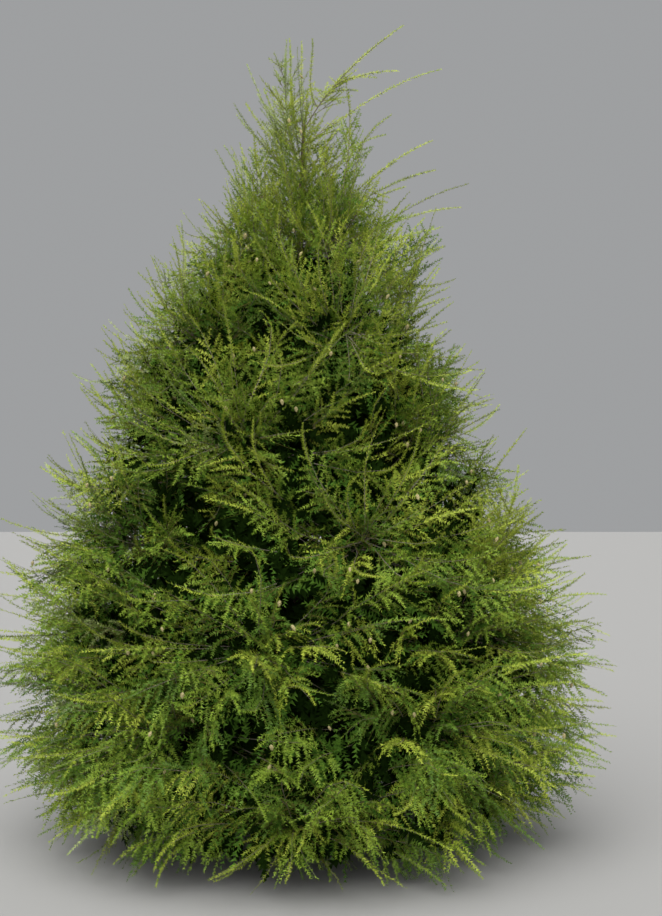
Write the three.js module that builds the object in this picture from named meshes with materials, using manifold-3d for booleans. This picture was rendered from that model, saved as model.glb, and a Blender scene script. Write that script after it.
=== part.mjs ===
// A young hemlock tree, grown in the open: a straight trunk with a root flare and a flat cut at the ground,
// limbs in seven tiers round it, and the crown's needle foliage as one solid for each limb, with two leaders on top.
// Millimetres, +Z up. The origin is the middle of the flat cut, and the front of the tree looks along -Y.
import * as THREE from "three";
import { mergeVertices } from "three/addons/utils/BufferGeometryUtils.js";
import Module from "manifold-3d";

const { lerp, clamp, degToRad } = THREE.MathUtils;
const wasm = await Module();
wasm.setup();

// Driving dimensions
const TREE_HEIGHT = 3830; // ground to the tip of the nodding leader
const CROWN_RADIUS = 1450; // the furthest reach of any shoot from the trunk

// Trunk
const TRUNK_TOP = 0.872 * TREE_HEIGHT; // where the wood ends and the leaders go on
const TRUNK_RADIUS = 52; // just above the root flare
const TRUNK_TIP_RADIUS = 7;
const TRUNK_SIDES = 12;
const TRUNK_LEVELS = [0, 25, 60, 120, 220, 420, 900, 1500, 2100, 2700, 3100, TRUNK_TOP];
const FLARE_RADIUS = 80; // the root flare at the ground
const FLARE_FADE = 75; // height over which the flare dies away
const ROOT_RIDGES = 5;
const RIDGE_DEPTH = 0.22; // of the root ridges, as a share of the flare
const RIDGE_TURN = 0.6; // how far the ridges are turned round the trunk, in radians
const SWAY = 12; // how far the trunk wanders from a straight line
const TIP_LEAN = 30; // lean of the trunk's last stretch to the right

// Clearances
const GAP = 0.3; // between a limb and the foliage that it carries
const TRUNK_GAP = 0.4; // between the trunk and what grows from it
const MARGIN = 4; // each foliage mass keeps this far inside its own space
const GROUND_CLEARANCE = 6;
const OVERREACH = 1.03; // how far out a point may stand, as a share of the reach there
const MERGE_DISTANCE = 2e-3; // points nearer than this are one
const SLIVER = 0.05; // edges shorter than this are left out of a finished solid

// How far the tips of the shoots reach, as shares of the tree's height and of the crown's radius.
// Each row is height, reach on the left (-X) and reach on the right (+X).
const REACH = [
  [0.0, 0.76, 0.78],
  [0.045, 0.9, 0.93],
  [0.12, 1.0, 1.0],
  [0.25, 1.0, 1.0],
  [0.35, 0.98, 0.95],
  [0.41, 0.94, 0.87],
  [0.5, 0.8, 0.72],
  [0.62, 0.66, 0.57],
  [0.74, 0.44, 0.5],
  [0.85, 0.27, 0.42],
  [0.94, 0.18, 0.4],
  [1.0, 0.1, 0.36],
];

// The border under each tier is a cone round the trunk: its height at the axis, as a share of the tree's height,
// and its rise for each millimetre outwards. The borders get steeper upwards, as the limbs do.
const BORDERS = [
  { height: 0.0, rise: 0.0 },
  { height: 0.1, rise: 0.05 },
  { height: 0.154, rise: 0.22 },
  { height: 0.231, rise: 0.34 },
  { height: 0.336, rise: 0.46 },
  { height: 0.447, rise: 0.62 },
  { height: 0.58, rise: 0.85 },
  { height: 0.747, rise: 1.15 },
];

// A tier's limbs: how many, the first one's azimuth in degrees, the share of the reach where the limb ends and its
// foliage begins, the share of the tier's depth where limb and stem run, the shares of the depth where its rows of
// twigs end, where the dense core begins and ends, and a spray's half width as a share of the reach.
const TIERS = [
  { name: "skirt", count: 5, turn: -90, inner: 0.36, run: 0.6,
    rows: [0.12, 0.8], core: [0.2, 0.68], spray: 0.115 },
  { name: "low", count: 5, turn: -54, inner: 0.36, run: 0.5,
    rows: [0.12, 0.88], core: [0.2, 0.7], spray: 0.115 },
  { name: "waist", count: 5, turn: -98, inner: 0.35, run: 0.48,
    rows: [0.12, 0.88], core: [0.2, 0.7], spray: 0.115 },
  { name: "middle", count: 4, turn: -70, inner: 0.32, run: 0.46,
    rows: [0.12, 0.88], core: [0.2, 0.7], spray: 0.12 },
  { name: "high", count: 4, turn: -110, inner: 0.28, run: 0.44,
    rows: [0.12, 0.88], core: [0.2, 0.7], spray: 0.12 },
  { name: "shoulder", count: 4, turn: -66, inner: 0.26, run: 0.42,
    rows: [0.12, 0.88], core: [0.18, 0.68], spray: 0.115 },
  { name: "neck", count: 3, turn: -46, inner: 0.0, run: 0.42,
    rows: [0.14, 0.88], core: [0.22, 0.74], spray: 0.17 },
];

const PLACE_START = 0.8; // first guess of a place's height, as a share of its tier's upper border at the trunk
const PLACE_STEPS = 6; // after which a place's radius and height agree

// Limbs
const LIMB_ROOT = 0.52; // where a limb leaves the trunk, as a share of its tier's depth
const LIMB_ROOT_SWING = 0.14; // the most that a limb leaves higher or lower than that
const LIMB_RADIUS = 13; // of the lowest limbs, where they leave the trunk
const LIMB_TAPER = 0.62; // a limb's radius at its tip, as a share of that at its root
const LIMB_THINNING = 0.55; // how much thinner a limb at the top of the trunk is than the lowest
const LIMB_RISE = 0.05; // how far a limb bows up, as a share of its length
const LIMB_SEGMENTS = 3;
const LIMB_SIDES = 5;

// Foliage
const COLUMNS = 4; // twigs in each row of a mass
const TEETH = 4; // of a spray
const TOOTH_LEAD = 0.7; // from where a spray begins to its first tooth, in tooth spacings
const TOOTH_TAIL = 0.9; // from its last tooth to its tip, in tooth spacings
const TOOTH_SWEEP = 1.1; // how far a spray's teeth point forward, as a share of their spacing
const NOTCH = 0.28; // a spray's half width between two teeth, as a share of that at a tooth
const SPRAY_ROOT = 0.5; // a spray's width where it begins, as a share of its widest
const SPRAY_WIDENING = 1.6; // how fast it widens from there
const SPRAY_POINT = 0.6; // how fast it narrows to its tip: lower is blunter
const SPRAY_START = 0.3; // where a twig widens into its spray, as a share of its length
const SPRAY_THICKNESS = 0.02; // of its length
const SPRAY_ROLL = 0.9; // the most that a spray leans over to one side, in radians
const UNEVEN = [0.85, 1.15]; // the smallest and the largest of sizes that vary by chance, as shares of the mean
const TWIG_RADIUS = 4.2;
const ARCH = 0.1; // how far the twigs arch up between root and tip, as a share of the tier's depth
const STEM_SHARES = [0, 0.12, 0.24]; // where the points of a mass's stem lie, as shares of the way outwards
const STEM_TAPER = [1, 0.95, 0.9]; // its radii there, as shares of the limb's at its tip
const TWIG_START = { side: 0.2, middle: 0.25, uneven: 0.06 }; // where twigs leave the stem, later near the middle
const TWIG_END = 0.92; // the least that a twig reaches, as a share of the way outwards
const TWIG_FAN = 1.6; // how early the twigs fan out: higher is earlier
const TWIG_SHIFT = { across: 0.06, up: 0.08 }; // the most that a twig ends beside its place in the row
const CORE_WIDTH = 0.8; // of a core, as a share of its space
const CORE_DEPTH = 0.44; // half its depth, as a share of its space
const CORE_FULLNESS = 0.75; // 1 is a ball, and lower is nearer to a block
const CORE_SIZES = [1, 0.94, 0.88, 0.82, 0.76, 0.7]; // tried in turn until the core fits its space
const DRAWN_IN = [0, 0.1, 0.2, 0.3, 0.4, 0.5, 0.6]; // shares by which a twig that leaves its space is drawn in

// Leaders
const LEADER_RADIUS = 8.4;
const LEADER_SHARES = [0, 0.2, 0.4, 0.66]; // where the points of a leader's stem lie, as shares of its length
const LEADER_TAPER = [1, 0.9, 0.75, 0.5]; // its radii there, as shares of the first
const LEADER_TIP = { start: 0.62, radius: 0.7, halfWidth: 26 }; // its own last spray; the radius is a share
const LAST_SHOOT = 0.8; // where the last side shoot leaves a leader, as a share of its length
const GOLDEN_SHARE = 0.618; // of the fan, from one side shoot to the next
const SHOOT = { start: 0.2, teeth: 3, halfWidth: 0.24, rise: 0.1, radius: 2.5 }; // width and rise are shares of length
const SHOOT_SWING = 0.2; // how much the angle to the stem varies, in radians
const LEADER_BORDER = { out: 16, lean: 0.33 }; // the plane between the two leaders' spaces, above the trunk

const UP = new THREE.Vector3(0, 0, 1);
const BACK = new THREE.Vector3(0, 1, 0);
const BARK = new THREE.MeshStandardMaterial({ color: 0x5d4a3b, roughness: 0.95, metalness: 0 });
const NEEDLES = new THREE.MeshStandardMaterial({ color: 0x6f8432, roughness: 0.7, metalness: 0 });
const FRESH_NEEDLES = new THREE.MeshStandardMaterial({ color: 0x8a9a45, roughness: 0.7, metalness: 0 });

/** A repeatable number from 0 up to 1 for three whole-number keys: a mass, one of its twigs, and a use. */
function chance(mass, twig, use) {
  const wave = Math.sin(mass * 12.9898 + twig * 78.233 + use * 37.719) * 43758.5453;
  return wave - Math.floor(wave);
}

/** A repeatable number from -1 up to 1. */
function swing(mass, twig, use) {
  return 2 * chance(mass, twig, use) - 1;
}

/** How far the shoots reach at a height, looked at along an azimuth in radians. */
function reach(height, azimuth) {
  const share = clamp(height / TREE_HEIGHT, 0, 1);
  const row = Math.max(1, REACH.findIndex(([level]) => level >= share));
  const [[low, lowLeft, lowRight], [high, highLeft, highRight]] = [REACH[row - 1], REACH[row]];
  const part = (share - low) / (high - low);
  const [left, right] = [lerp(lowLeft, highLeft, part), lerp(lowRight, highRight, part)];
  return CROWN_RADIUS * lerp(left, right, (1 + Math.cos(azimuth)) / 2);
}

/** The trunk's centre at a height: nearly straight, with its last stretch leaning to the right. */
function trunkCentre(height) {
  const share = height / TRUNK_TOP;
  const x = SWAY * Math.sin(5 * share) * share + TIP_LEAN * share ** 6;
  const y = SWAY * (Math.cos(4 * share) - 1) * share;
  return new THREE.Vector3(x, y, height);
}

/** The trunk's radius at a height and round it: a straight taper, and at the foot a flare with root ridges. */
function trunkRadius(height, angle) {
  const shaft = lerp(TRUNK_RADIUS, TRUNK_TIP_RADIUS, height / TRUNK_TOP);
  const ridges = 1 + RIDGE_DEPTH * Math.cos(ROOT_RIDGES * angle + RIDGE_TURN);
  return shaft + (FLARE_RADIUS - TRUNK_RADIUS) * ridges * Math.exp(-height / FLARE_FADE);
}

/** Moves each vertex of an upright unit cylinder to where a function of ring, x and z puts it. */
function bentCylinder(sides, segments, spotOf) {
  const geometry = new THREE.CylinderGeometry(1, 1, 1, sides, segments);
  const { position } = geometry.attributes;
  for (let i = 0; i < position.count; i++) {
    const ring = Math.round((position.getY(i) + 0.5) * segments);
    const spot = spotOf(ring, position.getX(i), position.getZ(i));
    position.setXYZ(i, spot.x, spot.y, spot.z);
  }
  return geometry;
}

/** The trunk's shape, grown outwards by a clearance where it cuts the roots of what grows from it. */
function trunkGeometry(clearance) {
  return bentCylinder(TRUNK_SIDES, TRUNK_LEVELS.length - 1, (ring, x, z) => {
    const height = TRUNK_LEVELS[ring];
    const radius = trunkRadius(height, Math.atan2(-z, x)) + clearance;
    const spot = trunkCentre(height).add(new THREE.Vector3(x * radius, -z * radius, 0));
    if (height === TRUNK_TOP) spot.z += clearance;
    return spot;
  });
}

/** A tapering limb along a list of points, with a radius for each. */
function limbGeometry(points, radii, sides, startDirection = null) {
  const last = points.length - 1;
  const frames = points.map((point, i) => {
    const along = points[Math.min(i + 1, last)].clone().sub(points[Math.max(i - 1, 0)]).normalize();
    if (i === 0 && startDirection) along.copy(startDirection);
    const side = new THREE.Vector3().crossVectors(Math.abs(along.z) > 0.9 ? BACK : UP, along).normalize();
    return { side, over: new THREE.Vector3().crossVectors(side, along) };
  });
  return bentCylinder(sides, last, (ring, x, z) => {
    const { side, over } = frames[ring];
    return points[ring].clone().addScaledVector(side, x * radii[ring]).addScaledVector(over, z * radii[ring]);
  });
}

/** The direction of a path at a share of its length. */
function heading(path, share) {
  return path(Math.min(1, share + 0.03)).sub(path(Math.max(0, share - 0.03))).normalize();
}

/** A three-sided twig that widens into a flat spray of needles, ridged on top and toothed left and right by turns. */
function sprayGeometry({ path, start, teeth, halfWidth, radius, roll }) {
  const toothShare = (tooth) => (tooth + TOOTH_LEAD) / (teeth - 1 + TOOTH_LEAD + TOOTH_TAIL);
  const shares = [0, start, ...Array.from({ length: teeth }, (_, i) => lerp(start, 1, toothShare(i))), 1];
  const frames = shares.map((share) => {
    const along = heading(path, share);
    const side = new THREE.Vector3().crossVectors(along, UP).normalize().applyAxisAngle(along, roll);
    return { point: path(share), along, side, over: new THREE.Vector3().crossVectors(side, along) };
  });
  const length = frames[1].point.distanceTo(frames[teeth + 2].point);
  return bentCylinder(3, shares.length - 1, (ring, x, z) => {
    const { point, along, side, over } = frames[ring];
    const spot = point.clone();
    if (ring < 2) return spot.addScaledVector(side, x * radius).addScaledVector(over, z * radius);
    const tooth = ring - 2;
    if (tooth === teeth) return spot;
    const share = toothShare(tooth);
    const widest = halfWidth * Math.min(1, SPRAY_ROOT + SPRAY_WIDENING * share) * (1 - share) ** SPRAY_POINT;
    const standsOut = x * (tooth % 2 ? 1 : -1) > 0.1;
    spot.addScaledVector(side, x * widest * (standsOut ? 1 : NOTCH));
    spot.addScaledVector(over, z * SPRAY_THICKNESS * length);
    return standsOut ? spot.addScaledVector(along, (TOOTH_SWEEP * length) / teeth) : spot;
  });
}

/** A geometry's triangles over shared points: points closer than a distance are one, and slivers are dropped. */
function mergedTriangles(geometry, distance) {
  const bare = new THREE.BufferGeometry().setAttribute("position", geometry.attributes.position);
  const merged = mergeVertices(bare.setIndex(geometry.index), distance);
  const corners = Array.from(merged.index.array);
  const triangles = corners.filter((_, i) => {
    const first = i - (i % 3);
    return new Set(corners.slice(first, first + 3)).size === 3;
  });
  return { points: merged.attributes.position.array, triangles };
}

/** A closed geometry as a solid, for joining and cutting. */
function solidOf(geometry) {
  const { points, triangles } = mergedTriangles(geometry, MERGE_DISTANCE);
  const mesh = { numProp: 3, vertProperties: new Float32Array(points), triVerts: new Uint32Array(triangles) };
  return new wasm.Manifold(new wasm.Mesh(mesh));
}

/** The largest body of a solid as a geometry, so that loose scrap is dropped and a sealed hollow is filled. */
function geometryOf(solid) {
  const body = solid.setTolerance(SLIVER).decompose().sort((a, b) => b.volume() - a.volume())[0];
  const { vertProperties, triVerts } = body.getMesh();
  const geometry = new THREE.BufferGeometry();
  geometry.setAttribute("position", new THREE.BufferAttribute(new Float32Array(vertProperties), 3));
  return geometry.setIndex(new THREE.BufferAttribute(new Uint32Array(triVerts), 1));
}

/** Whether every edge of a solid still joins two triangles once its nearest points are merged. */
function staysClosed(solid) {
  const { triangles } = mergedTriangles(geometryOf(solid), MERGE_DISTANCE);
  const edges = new Set();
  for (let i = 0; i < triangles.length; i++) {
    const next = i % 3 === 2 ? i - 2 : i + 1;
    edges.add(`${triangles[i]} ${triangles[next]}`);
  }
  const paired = [...edges].every((edge) => edges.has(edge.split(" ").reverse().join(" ")));
  return paired && edges.size === triangles.length;
}

/** A solid with a geometry fused to it, or without it where the seam would not stay closed. */
function fused(solid, geometry) {
  const union = solid.add(solidOf(geometry));
  return staysClosed(union) ? union : solid;
}

/** Whether a geometry's vertices, and the middles of its triangles and of an edge of each, all pass a test. */
function everyPoint(geometry, test) {
  const { position } = geometry.attributes;
  const spotAt = (_, i) => new THREE.Vector3().fromBufferAttribute(position, i);
  const spots = Array.from({ length: position.count }, spotAt);
  const corners = Array.from(geometry.index.array);
  for (let i = 0; i < corners.length; i += 3) {
    const [a, b, c] = corners.slice(i, i + 3).map((corner) => spots[corner]);
    spots.push(a.clone().add(b).add(c).divideScalar(3), a.clone().lerp(b, 0.5));
  }
  return spots.every(test);
}

/** The height of a border between tiers at a distance from the axis. */
function borderHeight(border, radius) {
  return border.height * TREE_HEIGHT + border.rise * radius;
}

/** The space of one limb and its foliage: a slice of a tier, between two cones and two upright planes. */
class Space {
  constructor(tierIndex, index) {
    this.tier = TIERS[tierIndex];
    this.key = tierIndex * 10 + index;
    this.floor = BORDERS[tierIndex];
    this.roof = BORDERS[tierIndex + 1];
    this.azimuth = degToRad(this.tier.turn + (360 * index) / this.tier.count);
    this.halfAngle = Math.PI / this.tier.count;
  }

  /** The point at a share of the way outwards, of the half width (-1 to 1) and of the depth (0 to 1). */
  place(out, across, up) {
    const azimuth = this.azimuth + across * this.halfAngle;
    let radius = 0;
    let height = PLACE_START * borderHeight(this.roof, 0);
    for (let step = 0; step < PLACE_STEPS; step++) {
      radius = reach(height, azimuth) * lerp(this.tier.inner, 1, out);
      height = lerp(borderHeight(this.floor, radius), borderHeight(this.roof, radius), up);
    }
    return new THREE.Vector3(radius * Math.cos(azimuth), radius * Math.sin(azimuth), height);
  }

  /** Whether a point lies in the space, clear of its borders and of the trunk. */
  holds(spot) {
    const radius = Math.hypot(spot.x, spot.y);
    const azimuth = Math.atan2(spot.y, spot.x);
    const turn = Math.abs(Math.atan2(Math.sin(azimuth - this.azimuth), Math.cos(azimuth - this.azimuth)));
    return (
      (this.halfAngle - turn) * radius > MARGIN &&
      spot.z > Math.max(borderHeight(this.floor, radius) + MARGIN, GROUND_CLEARANCE) &&
      spot.z < borderHeight(this.roof, radius) - MARGIN &&
      radius < OVERREACH * reach(spot.z, azimuth) &&
      clearOfTrunk(spot)
    );
  }
}

/** Whether a point keeps well away from the trunk. */
function clearOfTrunk(spot) {
  const centre = trunkCentre(Math.min(spot.z, TRUNK_TOP));
  return Math.hypot(spot.x - centre.x, spot.y - centre.y) > trunkRadius(centre.z, 0) + 2 * MARGIN;
}

/** The limb of a space, from inside the trunk to where the foliage begins, with direction and radius there. */
function limbOf({ key, floor, roof }, tip) {
  const rootShare = LIMB_ROOT + LIMB_ROOT_SWING * swing(key, 0, 20);
  const rootHeight = lerp(borderHeight(floor, 0), borderHeight(roof, 0), rootShare);
  const root = trunkCentre(rootHeight);
  const middle = root.clone().lerp(tip, 0.5).addScaledVector(UP, LIMB_RISE * tip.distanceTo(root));
  const points = new THREE.QuadraticBezierCurve3(root, middle, tip).getPoints(LIMB_SEGMENTS);
  const rootRadius = LIMB_RADIUS * (1 - LIMB_THINNING * (rootHeight / TRUNK_TOP));
  const radii = points.map((_, i) => rootRadius * lerp(1, LIMB_TAPER, i / LIMB_SEGMENTS));
  const direction = tip.clone().sub(points[LIMB_SEGMENTS - 1]).normalize();
  return { geometry: limbGeometry(points, radii, LIMB_SIDES), direction, radius: radii[LIMB_SEGMENTS] };
}

/** The places where a space's twigs end: first the stem's own, then two rows, each set between the other's. */
function twigEnds({ tier, key }) {
  const ends = [{ twig: 0, across: 0, up: tier.run }];
  tier.rows.forEach((rowHeight, row) => {
    for (let column = 0; column < COLUMNS; column++) {
      const twig = ends.length;
      const middle = ((column + (row % 2 ? 0.75 : 0.25)) / COLUMNS) * 2 - 1;
      const across = middle + TWIG_SHIFT.across * swing(key, twig, 1);
      ends.push({ twig, across, up: rowHeight + TWIG_SHIFT.up * swing(key, twig, 2) });
    }
  });
  return ends;
}

/** The way of a twig from the stem to its end, drawn in towards the middle of the space by a share. */
function twigPath(space, { twig, across, up }, drawnIn) {
  const { tier, key } = space;
  const uneven = TWIG_START.uneven * chance(key, twig, 3);
  const start = TWIG_START.side + TWIG_START.middle * (1 - Math.abs(across)) + uneven;
  const end = lerp(TWIG_END, 1, chance(key, twig, 4));
  return (share) => {
    const turn = across * (1 - drawnIn) * (1 - (1 - share) ** TWIG_FAN);
    const height = lerp(tier.run, lerp(up, 0.5, drawnIn), share) + 2 * ARCH * share * (1 - share);
    return space.place(lerp(start, end, share), turn, height);
  };
}

/** The dense middle of a mass, that its sprays stand out of: a rounded block in the middle of the space. */
function coreGeometry(space, size) {
  const [from, to] = space.tier.core;
  const geometry = new THREE.SphereGeometry(1, 8, 4);
  const { position } = geometry.attributes;
  const fuller = (value) => Math.sign(value) * Math.abs(value) ** CORE_FULLNESS;
  for (let i = 0; i < position.count; i++) {
    const [across, out, up] = [-position.getX(i), position.getY(i), position.getZ(i)];
    const uneven = size * (1 + 0.1 * Math.sin(5 * across + 3 * up + space.key));
    const [turn, height] = [CORE_WIDTH * uneven * fuller(across), 0.5 + CORE_DEPTH * uneven * fuller(up)];
    const spot = space.place(lerp(from, to, (1 + out) / 2), turn, height);
    position.setXYZ(i, spot.x, spot.y, spot.z);
  }
  return geometry;
}

/** A space's foliage: a stem that enters a dense core, and twigs that stand out of it as sprays of needles. */
function foliageOf(space, limb) {
  const { tier, key } = space;
  const stem = STEM_SHARES.map((share) => space.place(share, 0, tier.run + 2 * ARCH * share * (1 - share)));
  if (limb) stem[0].addScaledVector(limb.direction, GAP);
  else stem[0] = trunkCentre(stem[0].z);
  const stemRadius = limb ? limb.radius : 1.5 * TWIG_RADIUS;
  const stemRadii = STEM_TAPER.map((share) => share * stemRadius);
  const ahead = (spot) => !limb || spot.clone().sub(stem[0]).dot(limb.direction) > MARGIN;
  const fits = (geometry) => everyPoint(geometry, (spot) => space.holds(spot) && ahead(spot));

  const core = CORE_SIZES.map((size) => coreGeometry(space, size)).find(fits);
  let solid = solidOf(limbGeometry(stem, stemRadii, LIMB_SIDES, limb?.direction)).add(solidOf(core));
  const halfWidth = tier.spray * reach(space.place(1, 0, tier.run).z, space.azimuth);
  for (const end of twigEnds(space)) {
    const width = halfWidth * lerp(...UNEVEN, chance(key, end.twig, 8));
    const spray = DRAWN_IN.map((drawnIn) =>
      sprayGeometry({
        path: twigPath(space, end, drawnIn),
        start: SPRAY_START,
        teeth: TEETH,
        halfWidth: width * (1 - drawnIn),
        radius: TWIG_RADIUS,
        roll: SPRAY_ROLL * (1 - drawnIn) * swing(key, end.twig, 5),
      }),
    ).find(fits);
    if (spray) solid = fused(solid, spray);
  }
  return geometryOf(limb ? solid : solid.subtract(trunkCut));
}

/** A leader: a stem that curves up from the trunk, and sprays that stand round it, shorter towards its tip. */
function leaderOf({ points, key, shoots, lengths, from, spread, fan, holds }) {
  const curve = new THREE.QuadraticBezierCurve3(...points);
  const path = (share) => curve.getPoint(share);
  const stem = limbGeometry(LEADER_SHARES.map(path), LEADER_TAPER.map((share) => share * LEADER_RADIUS), LIMB_SIDES);
  const { start, halfWidth } = LEADER_TIP;
  const tip = sprayGeometry({
    path, start, teeth: TEETH, halfWidth, radius: LEADER_TIP.radius * LEADER_RADIUS, roll: 0 });
  let solid = solidOf(stem).add(solidOf(tip));
  for (let shoot = 0; shoot < shoots; shoot++) {
    const share = shoot / (shoots - 1);
    const root = path(lerp(from, LAST_SHOOT, share));
    const tangent = heading(path, lerp(from, LAST_SHOOT, share));
    const turn = fan * (2 * ((shoot * GOLDEN_SHARE) % 1) - 1);
    const axis = new THREE.Vector3().crossVectors(tangent, BACK).normalize().applyAxisAngle(tangent, turn);
    const direction = tangent.applyAxisAngle(axis, spread + SHOOT_SWING * swing(key, shoot, 6));
    const length = lerp(...lengths, share) * lerp(...UNEVEN, chance(key, shoot, 7));
    const way = (part) =>
      root.clone().addScaledVector(direction, part * length).addScaledVector(UP, SHOOT.rise * part * part * length);
    const geometry = sprayGeometry({ ...SHOOT, path: way, halfWidth: SHOOT.halfWidth * length, roll: 0 });
    if (everyPoint(geometry, holds)) solid = fused(solid, geometry);
  }
  return geometryOf(solid.subtract(trunkCut));
}

/** How far a point is inside the nodding leader's space: above the trunk, right of a border that leans right. */
function depthInNoddingSpace(spot) {
  const above = spot.z - TRUNK_TOP;
  return Math.min(above, spot.x - LEADER_BORDER.out - LEADER_BORDER.lean * above);
}

/** Whether a point is above the highest tier and below the top of the tree. */
function aboveTiers(spot) {
  const roof = borderHeight(BORDERS[BORDERS.length - 1], Math.hypot(spot.x, spot.y));
  return spot.z > roof + MARGIN && spot.z < TREE_HEIGHT;
}

/** A point of a leader's way, its height given as a share of the tree's. */
function leaderPoint(x, y, share) {
  return new THREE.Vector3(x, y, share * TREE_HEIGHT);
}

const LEADERS = {
  leader_nodding: {
    points: [trunkCentre(TRUNK_TOP - 20), leaderPoint(125, 0, 0.966), leaderPoint(490, 0, 0.9984)],
    key: 91,
    shoots: 18,
    lengths: [330, 120],
    from: 0.1,
    spread: 0.75,
    fan: 1.9,
    holds: (spot) => depthInNoddingSpace(spot) > MARGIN && aboveTiers(spot),
  },
  leader_upright: {
    points: [trunkCentre(0.93 * TRUNK_TOP), leaderPoint(-100, 40, 0.87), leaderPoint(-66, 20, 0.983)],
    key: 93,
    shoots: 18,
    lengths: [320, 140],
    from: 0.12,
    spread: 0.62,
    fan: Math.PI,
    holds: (spot) => depthInNoddingSpace(spot) < -MARGIN && aboveTiers(spot),
  },
};

const tree = new THREE.Group();

/** Adds a named solid to the tree. */
function addNode(name, geometry, material) {
  const mesh = new THREE.Mesh(geometry, material);
  mesh.name = name;
  tree.add(mesh);
}

const trunkCut = solidOf(trunkGeometry(TRUNK_GAP));
addNode("trunk", trunkGeometry(0), BARK);

TIERS.forEach((tier, tierIndex) => {
  for (let index = 0; index < tier.count; index++) {
    const space = new Space(tierIndex, index);
    const limb = tier.inner > 0 ? limbOf(space, space.place(0, 0, tier.run)) : null;
    if (limb) {
      addNode(`bough_${tier.name}_${index + 1}`, geometryOf(solidOf(limb.geometry).subtract(trunkCut)), BARK);
    }
    addNode(`foliage_${tier.name}_${index + 1}`, foliageOf(space, limb), NEEDLES);
  }
});

for (const [name, leader] of Object.entries(LEADERS)) addNode(name, leaderOf(leader), FRESH_NEEDLES);

export default tree;
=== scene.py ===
"""The looks of a young hemlock tree that grew in the open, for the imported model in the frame.

Everything is in metres, +Z up, with the origin at the middle of the trunk's flat cut. The crown follows the
part's own rule: slices of tiers between border cones, one limb for each slice, and twigs that fan out from the
limb's end to the reach. Here the twigs go on to branchlets, shoots and single needles inside the same reach.
"""

import logging
import math
from dataclasses import dataclass, fields
from enum import Enum

import bpy
import numpy as np
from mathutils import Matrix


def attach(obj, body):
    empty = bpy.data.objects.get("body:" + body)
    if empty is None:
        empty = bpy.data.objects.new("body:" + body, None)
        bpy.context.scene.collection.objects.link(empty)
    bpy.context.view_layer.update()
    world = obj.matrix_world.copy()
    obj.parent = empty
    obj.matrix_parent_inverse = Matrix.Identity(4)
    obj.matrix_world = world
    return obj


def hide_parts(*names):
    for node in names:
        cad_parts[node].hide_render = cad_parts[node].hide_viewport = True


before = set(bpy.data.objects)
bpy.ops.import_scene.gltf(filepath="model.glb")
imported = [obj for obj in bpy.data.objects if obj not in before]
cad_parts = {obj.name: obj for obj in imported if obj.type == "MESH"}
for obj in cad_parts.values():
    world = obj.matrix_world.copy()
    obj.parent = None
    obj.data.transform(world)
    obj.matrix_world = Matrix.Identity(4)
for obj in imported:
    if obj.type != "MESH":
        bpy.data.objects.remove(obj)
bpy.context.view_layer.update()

Array = np.ndarray
Pair = tuple[float, float]
Rows = tuple[tuple[float, ...], ...]
LOG = logging.getLogger("hemlock")
UP = np.array([0.0, 0.0, 1.0])
BACK = np.array([0.0, 1.0, 0.0])
EYE = np.array([0.146, -6.0, 1.55])  # where the camera stands
SEED = 20
MOST_TRIANGLES = 190_000  # of one piece
LOWEST = 0.004  # nothing of the crown comes nearer to the ground than this
CLEARANCE = 0.02  # shoots that would hang lower than this rest on the ground at this height
SUNK = -0.05  # and those that would hang lower than this are left out


def lerp(start: Array | float, end: Array | float, share: Array | float) -> Array:
    """The value at a share of the way from start to end."""
    return start + (end - start) * share


def unit(vectors: Array) -> Array:
    """Vectors with their length made 1."""
    return vectors / np.maximum(np.linalg.norm(vectors, axis=-1, keepdims=True), 1e-9)


def square_to(vectors: Array, along: Array) -> Array:
    """The directions of vectors once their part along unit vectors is taken away."""
    return unit(vectors - np.sum(vectors * along, axis=-1, keepdims=True) * along)


def turned(vectors: Array, axes: Array, angles: Array) -> Array:
    """Vectors turned about unit axes: the part across goes round by cosine and sine, the part along stays."""
    cosine, sine = np.cos(angles)[..., None], np.sin(angles)[..., None]
    along = np.sum(vectors * axes, axis=-1, keepdims=True) * axes
    return vectors * cosine + np.cross(axes, vectors) * sine + along * (1 - cosine)


def chance(mass: Array | float, twig: Array | float, use: int) -> Array:
    """The part's repeatable number from 0 up to 1: the fraction of a large multiple of a sine of the keys."""
    wave = np.sin(mass * 12.9898 + twig * 78.233 + use * 37.719) * 43758.5453
    return wave - np.floor(wave)


def swing(mass: Array | float, twig: Array | float, use: int) -> Array:
    """The part's repeatable number from -1 up to 1."""
    return 2 * chance(mass, twig, use) - 1


def counted(counts: Array) -> tuple[Array, Array]:
    """The parent's row for each child, and the child's number there, from how many each parent has."""
    owner = np.repeat(np.arange(len(counts)), counts)
    first = np.repeat(np.cumsum(counts) - counts, counts)
    return owner, np.arange(len(owner)) - first


@dataclass(frozen=True)
class Tier:
    """One tier of limbs: the part's own numbers, and those of its twigs here.

    grid is the rows and columns of twigs in a slice, droop the fall of side shoots as a share of their length,
    and rise the angle in degrees at which twigs end on the left and on the right.
    """

    name: str
    count: int
    turn: float
    inner: float
    run: float
    rows: Pair
    grid: tuple[int, int]
    droop: float
    rise: Pair


@dataclass
class Slices:
    """The slices of all tiers, one row each, between a lower and an upper border cone."""

    key: Array
    azimuth: Array
    half_angle: Array
    floor: Array
    roof: Array
    inner: Array
    run: Array
    tier: Array
    droop: Array
    rise: Array


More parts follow.
